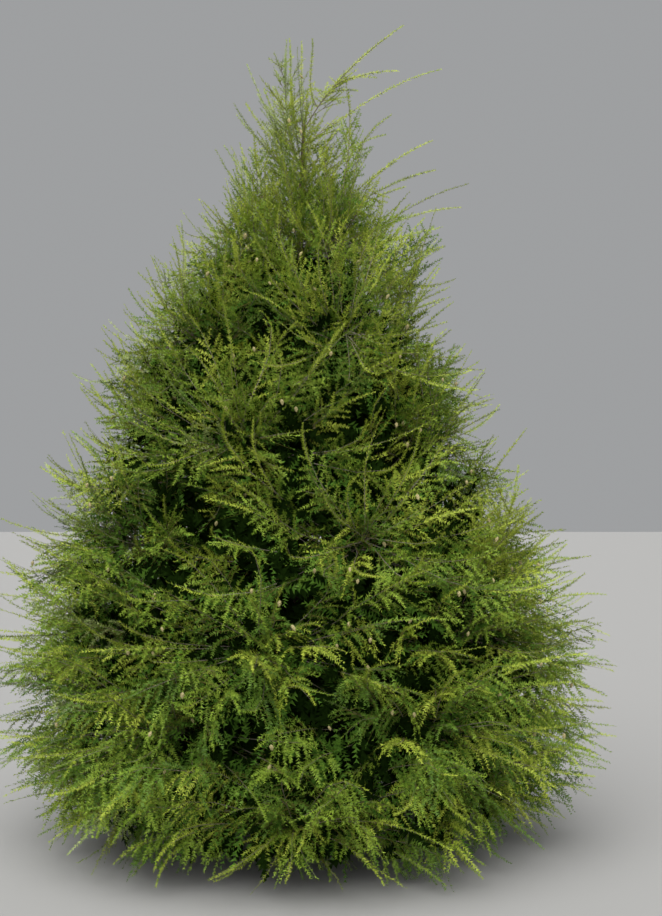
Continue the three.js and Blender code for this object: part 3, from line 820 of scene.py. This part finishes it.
@dataclass
class Foliage:
    """All twigs and their needles."""

    crown: Crown
    slices: Slices
    wood: Wood
    rng: np.random.Generator
    masses: tuple[str, ...]  # the nodes that the needles stand for
    steps: int = 12  # points of a twig
    end_steps: int = 6  # rounds in which a twig's end and its height are made to agree
    row_swing: float = 0.35  # of the gap between rows of twigs
    column_swing: float = 0.65
    widening: float = 1.16  # of a slice, so that neighbours mix
    widest: float = 1.15
    starts: tuple[float, float, float] = (0.06, 0.22, 0.22)  # least, more in the middle, more at random
    proud_power: float = 1.75  # the higher, the fewer tips stand far out
    lumps: float = 0.03  # of the dense reach
    shortfall: float = 0.16  # of the dense reach, at most
    lowest_tips: Pair = (0.035, 0.03)
    leading: tuple[float, float, float] = (0.05, 0.05, 0.25)  # least, more at random, more where proud
    twig_radius: float = 0.0028
    leader_radius: float = 0.0036
    leader_shoot_radius: float = 0.0018
    leading_shoot_radius: float = 0.0022
    leader_bare: float = 0.03
    leader_droop: float = -0.05
    plain_share: float = 0.35  # of a leader's shoot bears no side shoots
    nodding_plain: float = 0.62
    trunk_end: float = 0.02  # leading shoots leave the trunk lower than this under its top
    more_shoots: int = 16  # in front and behind, where the photograph can't show them
    more_starts: tuple[Pair, Pair] = ((0.26, 0.08), (2.86, 3.42))  # radius and height, lowest to highest
    more_ends: Pair = (0.62, 0.34)
    more_rise: Pair = (0.1, 0.3)
    fresh_score: float = 0.97
    green_score: float = 0.42
    pale_share: float = 0.1
    bowed_droop: float = 0.3  # branchlets that droop more are drawn with a bend
    older_stretch: float = 0.5  # of a twig still bears needles itself
    inner_within: float = 0.88  # of the dense reach, so that none of the inner branchlets sticks out
    skin_radius: float = 0.0012
    skin_top: float = 2.62
    skin_floor: float = 0.14
    skin_drawn_in: tuple[float, float, float] = (0.35, 2.1, 0.5)  # share, from which height, over how much
    # lit is the share of the outer skin's sprays that get the painted half-shade green; the rest get the
    # near-black painted shade.
    lit: float = 0.42  # of the outer skin's sprays are green
    branchlets: SideShoots = SideShoots(
        spacing=0.0242, stretch=0.44, least=0.22, bare_root=0.22, short=0.05, long=0.15, full=0.2,
        angle=0.74, angle_swing=0.2, tilt=0.22, radius=0.0015, steps=4,
    )
    shoots: SideShoots = SideShoots(
        spacing=0.05, stretch=0.5, least=0.0, bare_root=0.25, short=0.026, long=0.06, full=0.1,
        angle=0.72, angle_swing=0.2, tilt=0.2, radius=0.001, steps=3,
    )
    inner_branchlets: SideShoots = SideShoots(
        spacing=0.054, stretch=0.8, least=0.0, bare_root=0.08, short=0.12, long=0.18, full=0.6,
        angle=0.95, angle_swing=0.3, tilt=0.5, radius=0.0013, steps=3,
    )
    outer: Needles = Needles()
    older: Needles = Needles(spacing=0.016)
    youngest: Needles = Needles(length=0.0165, width=0.0055, spacing=0.006, forward=1.0, lift_spread=0.55)
    middling: Needles = Needles(length=0.021, width=0.011, spacing=0.0165, lift_spread=0.4)
    broad: Needles = Needles(length=0.029, width=0.0145, spacing=0.018, lift_spread=0.4)
    # The coarse and core needles stand on the skins deep in the crown and carry the painted shade.
    coarse: Needles = Needles(length=0.05, width=0.032, spacing=0.022, lift_spread=0.3)
    core: Needles = Needles(length=0.082, width=0.052, spacing=0.032, lift_spread=0.3)

    def build(self) -> Sprigs:
        """Grows everything from the twigs out, and dresses it with bark and needles.

        Returns:
            The branchlets, on which cones may hang.
        """
        crown_twigs, *habit = self.twigs()
        leaders, *leader_habit = self.leaders()
        inner, _ = self.inner_branchlets.grow(crown_twigs, 0.3, 0.33, self.rng)
        inner, _ = inner.rested()
        inner = inner.kept(self.crown.within(inner.points[:, -1], self.inner_within))
        twigs = Sprigs.joined([crown_twigs, leaders], self.steps)
        droop, leading = (np.concatenate(pair) for pair in zip(habit, leader_habit))
        branchlets, owner = self.branchlets.grow(twigs, droop, leading, self.rng)
        branchlets, clear = branchlets.rested()
        droop = droop[owner[clear]]
        shoots, _ = self.shoots.grow(branchlets, droop, 0.04, self.rng)
        shoots, _ = shoots.rested()
        counts = [len(group) for group in (twigs, branchlets, shoots, inner)]
        LOG.info("twigs %d, branchlets %d, shoots %d, inner %d", *counts)

        Piece("twigs", "bark", TWIG_BARK.material()).build(*twigs.tubes(6))
        curved = droop > self.bowed_droop
        straight = (branchlets.kept(~curved), shoots, inner)
        parts = [branchlets.kept(curved).tubes(3)] + [group.tubes(2) for group in straight]
        offsets = np.cumsum([0] + [len(vertices) for vertices, _ in parts])
        faces = np.concatenate([rows + offset for (_, rows), offset in zip(parts, offsets)])
        young = Piece("young_shoots", "bark", YOUNG_BARK.material())
        young.build(np.concatenate([vertices for vertices, _ in parts]), faces)

        self.outer_needles(twigs, leading, Sprigs.joined([branchlets, shoots], 4))
        self.inner_needles(inner)
        return branchlets

    def dress(self, tint: Tint, borne: list[tuple[Needles, Sprigs]]) -> None:
        """Adds the needles of one tint as a piece: each kind of them on the sprigs that bear it."""
        slot = "fresh_needles" if tint is Tint.FRESH else "needles"
        blades = [kind.blades(sprigs, self.rng) for kind, sprigs in borne]
        name = f"needles_{tint.name.lower()}"
        Piece(name, slot, FINISHES[tint].material(), self.masses).build(np.concatenate(blades))

    def outer_needles(self, twigs: Sprigs, leading: Array, sprays: Sprigs) -> None:
        """Needles of all sprays: few on a twig's older stretch, close and fresher on its leading shoot.

        Args:
            twigs: All twigs.
            leading: How long their leading shoots are.
            sprays: All branchlets and shoots.
        """
        length = twigs.lengths()
        young = np.clip(1 - (leading + 0.05) / length, 0.05, 1)
        older = twigs.stretch(np.clip(1 - self.older_stretch / length, 0, young), young)
        youngest = twigs.stretch(young, np.ones(len(twigs)))
        fresher = (youngest.points[:, -1, 2] > 0.9) | (self.rng.uniform(size=len(twigs)) < 0.4)
        fresher &= youngest.tint <= Tint.DEEP.value
        youngest.tint = np.where(fresher, np.maximum(youngest.tint - 1, 0), youngest.tint)
        borne = ((self.older, older), (self.outer, sprays), (self.youngest, youngest))
        for tint in (Tint.FRESH, Tint.GREEN, Tint.DEEP, Tint.PALE):
            self.dress(tint, [(kind, group.kept(group.tint == tint.value)) for kind, group in borne])

    def inner_needles(self, inner: Sprigs) -> None:
        """Needles of the inner branchlets, and of skins that close the crown against light: a share of the
        skin's sprays in the painted half-shade green, the others and the core in near-black painted shade.
        """
        skin = self.skins(((0.5, 8, 12),))
        # The outer skin is split at random into a lit copy in painted half-shade green and a shaded copy in
        # near-black painted shade.
        lit = self.rng.uniform(size=len(skin)) < self.lit
        self.dress(Tint.INNER, [(self.middling, inner), (self.broad, skin.kept(lit))])
        shaded = self.coarse.blades(skin.kept(~lit), self.rng)
        core = self.core.blades(self.skins(((0.1, 5, 6), (0.3, 6, 9))), self.rng)
        dark = Piece("needles_shaded", "needles", FINISHES[Tint.SHADED].material(), self.masses)
        dark.build(np.concatenate([shaded, core]))

    def places(self) -> tuple[Array, Array, Array, Array]:
        """Where the twigs of each slice end: first its stem, then rows by columns, every other row set off.

        Returns:
            The slice of each twig, its number there, and its places across and up.
        """
        found = []
        for index, key in enumerate(self.slices.key):
            tier = self.crown.tiers[self.slices.tier[index]]
            rows, columns = tier.grid
            level, column = (grid.ravel() for grid in np.indices((rows, columns)))
            number = 1 + np.arange(rows * columns)
            offset = np.where(level % 2 == 1, 0.75, 0.25)
            across = (column + offset) / columns * 2 - 1 + self.column_swing / columns * swing(key, number, 1)
            up = lerp(*tier.rows, level / (rows - 1)) + self.row_swing / rows * swing(key, number, 2)
            stem = (index, 0, 0.0, tier.run)
            rest = (np.full(len(number), index), number, across, up)
            found.append(np.stack([np.append(*pair) for pair in zip(stem, rest)]))
        row, twig, across, up = np.concatenate(found, axis=1)
        return row.astype(int), twig, np.clip(self.widening * across, -self.widest, self.widest), up

    def ends(self, row: Array, twig: Array, across: Array, up: Array, proud: Array) -> tuple[Array, Array]:
        """How far out the twigs end: between the dense and the furthest reach at their tip's height.

        The dense reach is made lumpy by sines of azimuth and height. A tip's height depends on how far out it
        is, so both are worked out in turn, each time going part of the way.

        Args:
            row: The slice of each twig.
            twig: Its number there.
            across: Its place across.
            up: Its place up.
            proud: 0 for the dense reach, 1 for the furthest.

        Returns:
            The share of the way outwards, and the tip.
        """
        s, key = self.slices, self.slices.key[row]
        short = 1 - self.shortfall * chance(key, twig, 12) ** 2.5
        end = np.ones(len(row))
        tip = self.crown.place(s, row, end, across, up)
        azimuth = np.arctan2(tip[:, 1], tip[:, 0])
        for _ in range(self.end_steps):
            furthest = self.crown.reach(tip[:, 2], azimuth)
            lumps = np.sin(5 * azimuth + 6 * tip[:, 2]) * np.sin(4 * tip[:, 2] - azimuth)
            dense = self.crown.reach(tip[:, 2], azimuth, dense=True) * (1.0 + self.lumps * lumps)
            ends = lerp(np.minimum(dense, furthest) * short, furthest, proud) / furthest
            end = lerp(end, np.clip((ends - s.inner[row]) / (1 - s.inner[row]), 0.3, 1.0), 0.6)
            tip = self.crown.place(s, row, end, across, up)
        tip[:, 2] = np.maximum(tip[:, 2], self.lowest_tips[0] + self.lowest_tips[1] * chance(key, twig, 13))
        return end, tip

    def twigs(self) -> tuple[Sprigs, Array, Array]:
        """The twigs of every slice by the part's rule, with more rows and columns of ends.

        A twig leaves its stem along the chord and outwards, and arrives at the angle of its side of the tree,
        turned sideways by chance. Its spray's flat is rolled about it.

        Returns:
            The twigs, how far their side shoots droop, and how long their leading shoots are.
        """
        s = self.slices
        row, twig, across, up = self.places()
        key = s.key[row]
        least, central, uneven = self.starts
        start = least + central * (1 - np.abs(across)) + uneven * chance(key, twig, 3)
        proud = chance(key, twig, 4) ** self.proud_power
        end, tip = self.ends(row, twig, across, up, proud)
        root = self.crown.place(s, row, np.minimum(start, 0.5 * end), 0.0, s.run[row])
        cosine = np.cos(np.arctan2(tip[:, 1], tip[:, 0]))
        rise = lerp(s.rise[row, 0], s.rise[row, 1], (1 + cosine) / 2) * lerp(0.5, 1.0, np.abs(cosine))
        rise = np.radians(np.minimum(rise + 28 * swing(key, twig, 9), 70))[:, None]
        outward = unit(tip * [1, 1, 0])
        flatwise = outward + np.cross(UP, outward) * (1.5 * swing(key, twig, 10))[:, None]
        arrive = unit(flatwise) * np.cos(rise) + UP * np.sin(rise)
        chord = unit(tip - root)
        points = bent(root, tip, unit(chord + 0.4 * outward), 1.25 * unit(arrive + 0.45 * chord), self.steps)
        along = unit(points[:, -1] - points[:, self.steps * 2 // 3])
        side = unit(np.cross(along, UP))
        normal = turned(np.cross(side, along), along, 1.15 * swing(key, twig, 5))
        droop = s.droop[row] * self.rng.uniform(0.4, 1.6, len(row))
        tint = self.tints(points[:, -1], proud)
        least, uneven, more = self.leading
        made = Sprigs(points, normal, self.twig_radius, tint, 0.0)
        return made, droop, least + uneven * chance(key, twig, 11) + more * proud

    def tints(self, tips: Array, proud: Array) -> Array:
        """Which needles each spray bears: fresher where its tip is high and far out, pale only on the left."""
        score = 0.3 * proud + 0.2 * tips[:, 2] / self.crown.height + self.rng.uniform(0, 1, len(tips))
        older = np.where(score > self.green_score, Tint.GREEN.value, Tint.DEEP.value)
        tint = np.where(score > self.fresh_score, Tint.FRESH.value, older)
        left = np.clip(-tips[:, 0] / np.hypot(tips[:, 0], tips[:, 1]), 0, 1)
        pale = self.rng.uniform(size=len(tips)) < self.pale_share * left**3
        return np.where(pale, Tint.PALE.value, tint)

    def leader(self, points: Array, habit: LeaderHabit) -> Sprigs:
        """A leader and the shoots round it by the part's rule: each leaves it turned by the golden share.

        Args:
            points: The three points of the leader's curve.
            habit: How its shoots stand.

        Returns:
            The shoots, then the stem.
        """
        curve = lambda t: bowed(*points, t)
        index = np.arange(habit.shoots, dtype=float)
        share = index / (habit.shoots - 1)
        at = lerp(*habit.part, share)[:, None]
        root, tangent = curve(at), unit(curve(at + 0.03) - curve(at - 0.03))
        turn = habit.fan * (2 * ((index * 0.618) % 1) - 1)
        axis = turned(unit(np.cross(tangent, BACK)), tangent, turn)
        direction = turned(tangent, axis, habit.spread + 0.2 * swing(habit.key, index, 6))
        length = lerp(*habit.lengths, share) * lerp(0.85, 1.15, chance(habit.key, index, 7))
        t = np.linspace(0, 1, self.steps)[None, :, None]
        way = root[:, None] + (direction[:, None] * t + UP * habit.lift * t**2) * length[:, None, None]
        stem = curve(np.linspace(0, 1, self.steps)[:, None])[None]
        normal = np.concatenate([np.cross(unit(np.cross(direction, UP)), direction), BACK[None]])
        radius = np.append(np.full(habit.shoots, self.leader_shoot_radius), self.leader_radius)
        return Sprigs(np.concatenate([way, stem]), normal, radius, Tint.FRESH.value, self.leader_bare)

    def leading_shoots(self, nodding: Array) -> tuple[Sprigs, Array]:
        """The long shoots round the leaders: those that go right flatten towards the tip, the others steepen.

        Those of the table show in the photograph. Where their tips lie nearer or further than the trunk, they
        stay on the line from the camera. As many again as more_shoots says stand in front and behind, by turns,
        from low to high: each leads from the start radius and height to the end radius, and rises.

        Args:
            nodding: Points of the nodding leader, from which the high ones on the right grow. The others grow
                from the trunk, lower than their first point by a share of its distance.

        Returns:
            One shoot each, and the length of each that bears no side shoots.
        """
        first_x, first_z, end_x, end_z = np.array(LEADING_SHOOTS).T
        seen, more = len(first_x), self.more_shoots
        depth = self.rng.uniform(-1, 1, (2, seen))
        azimuth = np.pi * (np.arange(more) % 2 - 0.5) + self.rng.uniform(-0.7, 0.7, more)
        outward = np.stack([np.cos(azimuth), np.sin(azimuth), 0 * azimuth], 1)
        share, uneven = np.linspace(0, 1, more), self.rng.uniform(0, 1, (2, more))
        radius, height = (lerp(*pair, share)[:, None] for pair in self.more_starts)
        first_more = outward * radius + UP * height
        end_more = outward * (lerp(*self.more_ends, share) * lerp(0.7, 1.0, uneven[0]))[:, None]
        end_more += UP * (first_more[:, 2] + lerp(*self.more_rise, uneven[1]))[:, None]
        first = np.concatenate([np.stack([first_x, 0.06 * depth[0], first_z], 1), first_more])
        end_depth = 0.12 * depth[0] + 0.5 * np.abs(end_x) * depth[1]
        sight = np.stack([end_x, 0 * end_x, end_z], 1) - EYE
        end = np.concatenate([EYE + sight * (1 - end_depth / EYE[1])[:, None], end_more])
        height = first[:, 2] - 0.7 * np.hypot(first[:, 0], first[:, 1]) - 0.03
        highest = self.wood.top - self.trunk_end
        gap = np.linalg.norm(first[:, None] - UP * 0.04 - nodding[None], axis=2)
        on_leader = (end[:, 0] > 0) & (height > highest) & (np.arange(seen + more) < seen)
        trunk = self.wood.centre(np.minimum(height, highest))
        root = np.where(on_leader[:, None], nodding[np.argmin(gap, axis=1)], trunk)
        chord = unit(end - root)
        bend = np.where(end[:, 0] > first[:, 0] + 0.08, -0.3, 0.3)[:, None] * UP
        points = bent(root, end, unit(first - root + 0.2 * (end - root)), unit(chord + bend), self.steps)
        normal = unit(BACK + 0.6 * self.rng.normal(size=chord.shape))
        fresh = (end[:, 0] >= 0.06) | (self.rng.uniform(size=seen + more) < 0.4)
        tint = np.where(fresh, Tint.FRESH.value, Tint.PALE.value)
        made = Sprigs(points, normal, self.leading_shoot_radius, tint, self.leader_bare)
        return made, np.linalg.norm(end - first, axis=1)

    def leaders(self) -> tuple[Sprigs, Array, Array]:
        """The nodding leader, the upright one beside it, the spire below, and the bushy one low on the right.

        Returns:
            Their stems and shoots, how far the side shoots droop, and how long the leading shoots are.
        """
        height, top = self.crown.height, self.wood.top
        trunk = lambda share: self.wood.centre(np.array(share * top))
        nodding = self.leader(
            np.array([trunk(1 - self.trunk_end / top), [0.18, 0, 0.944 * height], [0.49, 0, 0.9984 * height]]),
            LeaderHabit(91, (0.1, 0.42), (0.24, 0.12), spread=0.7, fan=0.5, shoots=8),
        )
        upright = self.leader(
            np.array([trunk(0.93), [-0.1, 0.04, 0.87 * height], [-0.066, 0.02, 0.983 * height]]),
            LeaderHabit(93, (0.12, 0.8), (0.28, 0.12), spread=0.5, fan=np.pi, shoots=18),
        )
        spire = self.leader(
            np.array([trunk(share) for share in (0.78, 0.9, 0.99)]),
            LeaderHabit(97, (0.0, 0.8), (0.39, 0.23), spread=1.0, fan=np.pi, shoots=50, lift=0.26),
        )
        bushy = self.leader(
            np.array([[0.52, -0.3, 1.08], [0.91, -0.48, 1.2], [0.96, -0.48, 1.71]]),
            LeaderHabit(95, (0.3, 0.8), (0.34, 0.13), spread=0.7, fan=np.pi, shoots=26),
        )
        spire.tint[1::2] = Tint.GREEN.value
        upright.tint[np.arange(len(upright)) % 3 < 2] = Tint.PALE.value
        longest, plain_stretch = self.leading_shoots(nodding.points[-1])
        made = Sprigs.joined([nodding, upright, spire, bushy, longest], self.steps)
        plain = self.plain_share * made.lengths()
        plain[-len(longest) :] = plain_stretch
        plain[len(nodding) - 1] *= self.nodding_plain / self.plain_share
        return made, np.full(len(made), self.leader_droop), plain

    def skins(self, kinds: Rows) -> Sprigs:
        """Sprays on skins inside the crown, lying across the way outwards, and none in its thin top. They stand
        where the crown is only in shade, and their needles carry painted shade.

        Args:
            kinds: For each skin the share of the way outwards, and its rows and columns of sprays in a slice.

        Returns:
            The sprays of all skins.
        """
        s, groups = self.slices, []
        for out, rows, columns in kinds:
            column, level, row = (grid.ravel() for grid in np.indices((columns, rows, len(s.key))))
            noise = self.rng.uniform(-0.5, 0.5, (3, len(row)))
            across = (column + 0.5 + noise[0]) / columns * 2 - 1
            root = self.crown.place(s, row, out + 0.09 * noise[2], across, (level + 0.5 + noise[1]) / rows)
            root = root[(root[:, 2] < self.skin_top) & (root[:, 2] > self.skin_floor)]
            azimuth = np.arctan2(root[:, 1], root[:, 0])
            dense = self.crown.reach(root[:, 2], azimuth, dense=True)
            most, first, over = self.skin_drawn_in
            inset = 1 - most * np.clip((root[:, 2] - first) / over, 0, 1)
            root[:, :2] *= (inset * dense / self.crown.reach(root[:, 2], azimuth))[:, None]
            outward = unit(root * [1, 1, 0])
            angle = self.rng.uniform(0, 2 * np.pi, len(root))[:, None]
            across = np.cross(UP, outward) * np.cos(angle) + UP * np.sin(angle)
            along = unit(across + outward * self.rng.uniform(-0.2, 0.8, (len(root), 1)))
            size = self.rng.uniform(0.12, 0.22, len(root)) * np.clip(dense, 0.4, 1)
            t = np.linspace(0, 1, 3)[None, :, None]
            points = root[:, None] + along[:, None] * t * size[:, None, None]
            clear = points[..., 2].min(axis=1) > 0.5 * self.skin_floor
            # These sprays take the shaded tint, whose near-black colour is painted shade.
            groups.append(Sprigs(points[clear], outward[clear], self.skin_radius, Tint.SHADED.value, 0.0))
        return Sprigs.joined(groups, 3)


@dataclass(frozen=True)
class Cones:
    """Small hanging cones: egg shapes whose rings of scales stand out by turns."""

    length: float = 0.024
    width: float = 0.0145
    rings: int = 5
    sides: int = 6
    bulge: float = 0.14
    share: float = 0.024  # of the sheltered branchlets bear one
    within: float = 0.93  # of the dense reach
    lowest: float = 0.5

    def build(self, tips: Array, crown: Crown, rng: np.random.Generator) -> None:
        """Cones under sheltered tips: half the width times a sine of the way down, with corners in and out.

        Args:
            tips: Where the branchlets end.
            crown: Says how far the dense sprays reach.
            rng: The seeded source of unevenness.
        """
        sheltered = crown.within(tips, self.within) & (tips[:, 2] > self.lowest)
        tips = tips[sheltered & (rng.uniform(size=len(tips)) < self.share)]
        down = np.linspace(0, 1, self.rings + 2)[1:-1, None]
        girth = np.sin(np.pi * down**0.8) ** 0.8
        angle = np.arange(self.sides) * 2 * np.pi / self.sides
        level, corner = np.indices((self.rings, self.sides))
        radius = self.width / 2 * girth * (1 + self.bulge * np.where((level + corner) % 2 == 0, 1, -1))
        ring = np.stack([radius * np.cos(angle), radius * np.sin(angle), -down * self.length + 0 * radius], -1)
        one = np.concatenate([ring.reshape(-1, 3), [[0, 0, 0], [0, 0, -self.length]]])
        size = rng.uniform(0.8, 1.15, len(tips))
        lean = rng.normal(0, 0.25, (len(tips), 2))
        body = one[None] * size[:, None, None]
        body[..., :2] += lean[:, None] * -body[..., 2:]
        offsets = (np.arange(len(tips)) * len(one))[:, None, None]
        faces = ring_faces(self.rings, self.sides)[None, :, ::-1] + offsets  # reversed: these rings go down
        scales = Piece("cones", "bark", CONE_SCALES.material())
        scales.build((tips[:, None] + body).reshape(-1, 3), faces.reshape(-1, 3))
        LOG.info("cones %d", len(tips))


@dataclass(frozen=True)
class Studio:
    """Pale floor, soft light and the camera at the photograph's angle."""

    lens: float = 50.0
    sensor: float = 36.0
    pitch: float = 1.98
    floor_size: float = 120.0
    floor_colour: str = "#a1a09e"
    floor_roughness: float = 0.9
    sky_colour: str = "#eef0f2"
    key_strength: float = 3.0
    fill_strength: float = 1.7
    sky: float = 0.4

    def floor(self) -> None:
        """A large flat square under the tree."""
        half = self.floor_size / 2
        corners = [(-half, -half, 0), (half, -half, 0), (half, half, 0), (-half, half, 0)]
        mesh = bpy.data.meshes.new("studio_floor")
        mesh.from_pydata(corners, [], [(0, 1, 2, 3)])
        made = bpy.data.materials.new("Matt studio floor")
        made.use_nodes = True
        shader = next(n for n in made.node_tree.nodes if n.type == "BSDF_PRINCIPLED")
        shader.inputs["Base Color"].default_value = linear(self.floor_colour)
        shader.inputs["Roughness"].default_value = self.floor_roughness
        mesh.materials.append(made)
        floor = add_object("studio_floor", mesh)

    def light(self, name: str, spot: tuple[float, float, float], spread: float, strength: float) -> None:
        """A far lamp as wide in the sky as an angle in degrees, which gives even light with soft shadows."""
        lamp = bpy.data.lights.new(name, "SUN")
        lamp.angle = math.radians(spread)
        lamp.energy = strength
        tilt = math.atan2(math.hypot(spot[0], spot[1]), spot[2])
        add_object(name, lamp, spot, (tilt, 0.0, math.atan2(spot[0], -spot[1])))

    def build(self) -> None:
        """Floor, lamps, sky and camera."""
        self.floor()
        self.light("overhead_light", (-1.2, -5.0, 9.0), 60.0, self.key_strength)
        self.light("front_light", (-1.0, -10.0, 3.6), 90.0, self.fill_strength)
        world = bpy.data.worlds.new("soft_sky")
        world.use_nodes = True
        sky = next(n for n in world.node_tree.nodes if n.type == "BACKGROUND")
        sky.inputs["Color"].default_value = linear(self.sky_colour)
        sky.inputs["Strength"].default_value = self.sky
        bpy.context.scene.world = world
        lens = bpy.data.cameras.new("camera")
        lens.lens = self.lens
        lens.sensor_width = self.sensor
        camera = add_object("camera", lens, tuple(EYE), (math.radians(90 + self.pitch), 0.0, 0.0))
        bpy.context.scene.camera = camera
        bpy.context.scene.view_settings.view_transform = "Standard"


def main() -> None:
    """Builds wood, foliage, cones and studio in order."""
    logging.basicConfig(level=logging.INFO, format="%(message)s")
    rng = np.random.default_rng(SEED)
    crown = Crown()
    slices = crown.slices()
    wood = Wood(crown, slices)
    wood.build(sorted(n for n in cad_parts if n.startswith("bough")))
    masses = sorted(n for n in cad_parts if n.startswith(("foliage", "leader")))
    branchlets = Foliage(crown, slices, wood, rng, tuple(masses)).build()
    Cones().build(branchlets.points[:, -1], crown, rng)
    Studio().build()


if __name__ == "__main__":
    main()
